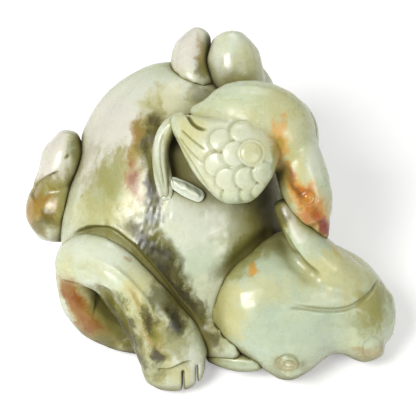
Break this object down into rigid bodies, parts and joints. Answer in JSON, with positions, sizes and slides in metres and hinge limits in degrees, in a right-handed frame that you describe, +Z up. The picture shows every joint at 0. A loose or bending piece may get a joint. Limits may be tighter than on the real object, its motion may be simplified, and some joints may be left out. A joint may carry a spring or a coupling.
{
  "type": "jade figurine",
  "caption": "Polished celadon and russet stone carving of a plump beast lying on its back, with a bird sitting on its belly.",
  "frame": {"origin": "middle of the footprint, on the flat ground seat", "axes": "+Z up from the seat; -Y towards the side that the carving's best face looks to, which leans back 40 degrees from upright; +X from the near hind foot to the muzzle"},
  "size_m": [0.0804, 0.0683, 0.0518],
  "materials": {
    "jade_celadon": "polished pale celadon nephrite with olive veins and russet and near-black inclusions",
    "jade_pale": "polished beige-white nephrite skin",
    "jade_olive": "polished olive-green nephrite",
    "jade_russet": "polished nephrite stained russet and orange by iron"
  },
  "bodies": {
    "root": {"trunk": "jade_celadon", "neck": "jade_celadon", "head": "jade_celadon", "lower_jaw": "jade_olive", "muzzle_pad": "jade_olive", "near_eye": "jade_olive", "near_ear": "jade_celadon", "near_upper_arm": "jade_russet", "near_forearm": "jade_celadon", "near_toes": "jade_olive", "far_upper_arm": "jade_celadon", "far_forearm": "jade_celadon", "far_toes": "jade_celadon", "near_hind_hock": "jade_pale", "near_hind_foot": "jade_olive", "far_hind_thigh": "jade_celadon", "far_hind_hock": "jade_celadon", "far_hind_foot": "jade_pale", "tail": "jade_pale", "bird_body": "jade_celadon", "bird_near_wing": "jade_olive", "bird_far_wing": "jade_olive", "bird_tail": "jade_celadon", "bird_foot": "jade_celadon", "bird_neck": "jade_celadon", "bird_head": "jade_russet", "bird_beak": "jade_russet"}
  },
  "joints": []
}
